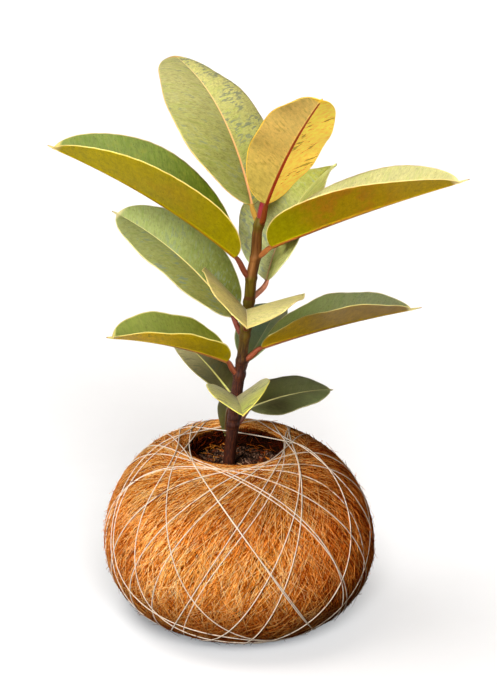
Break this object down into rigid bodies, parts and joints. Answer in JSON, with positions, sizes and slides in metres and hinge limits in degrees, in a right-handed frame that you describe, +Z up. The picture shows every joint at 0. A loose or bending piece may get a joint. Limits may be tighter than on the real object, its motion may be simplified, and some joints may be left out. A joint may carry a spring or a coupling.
{
  "type": "kokedama plant",
  "caption": "House plant in a squat coconut-fibre ball wound with string: soil in its open top, an upright stem and large folded variegated leaves. Stands free.",
  "frame": {"origin": "on the flat spot that the ball rests on, under the middle of the ball's belt", "axes": "+Z up along the stem, -Y the front that faces the camera, +X to the right"},
  "size_m": [0.2613, 0.2305, 0.3735],
  "materials": {
    "coir_wrap": "loose matt coconut fibre",
    "soil": "dark crumbly potting mix",
    "string": "thin off-white twisted twine",
    "stem": "rough brown bark, smoother olive green above",
    "tip_sheath": "crimson, slightly glossy",
    "leaf_top_left": "satin waxy variegated leaf",
    "leaf_top_yellow": "satin waxy variegated leaf",
    "leaf_upper_right": "satin waxy variegated leaf",
    "leaf_upper_left": "satin waxy variegated leaf",
    "leaf_upper_back": "satin waxy variegated leaf",
    "leaf_mid_front": "satin waxy variegated leaf",
    "leaf_mid_left": "satin waxy variegated leaf",
    "leaf_mid_right": "satin waxy variegated leaf",
    "leaf_low_left": "satin waxy variegated leaf",
    "leaf_low_back_right": "satin waxy variegated leaf",
    "leaf_low_back_left": "satin waxy variegated leaf",
    "leaf_low_front": "satin waxy variegated leaf",
    "leaf_lowest_back": "satin waxy variegated leaf",
    "leaf_low_right": "satin waxy variegated leaf"
  },
  "bodies": {
    "root": {"coir_wrap": "coir_wrap", "soil": "soil", "string": "string", "stem": "stem", "tip_sheath": "tip_sheath", "leaf_top_left": "leaf_top_left", "leaf_top_yellow": "leaf_top_yellow", "leaf_upper_right": "leaf_upper_right", "leaf_upper_left": "leaf_upper_left", "leaf_upper_back": "leaf_upper_back", "leaf_mid_front": "leaf_mid_front", "leaf_mid_left": "leaf_mid_left", "leaf_mid_right": "leaf_mid_right", "leaf_low_left": "leaf_low_left", "leaf_low_back_right": "leaf_low_back_right", "leaf_low_back_left": "leaf_low_back_left", "leaf_low_front": "leaf_low_front", "leaf_lowest_back": "leaf_lowest_back", "leaf_low_right": "leaf_low_right"}
  },
  "joints": []
}
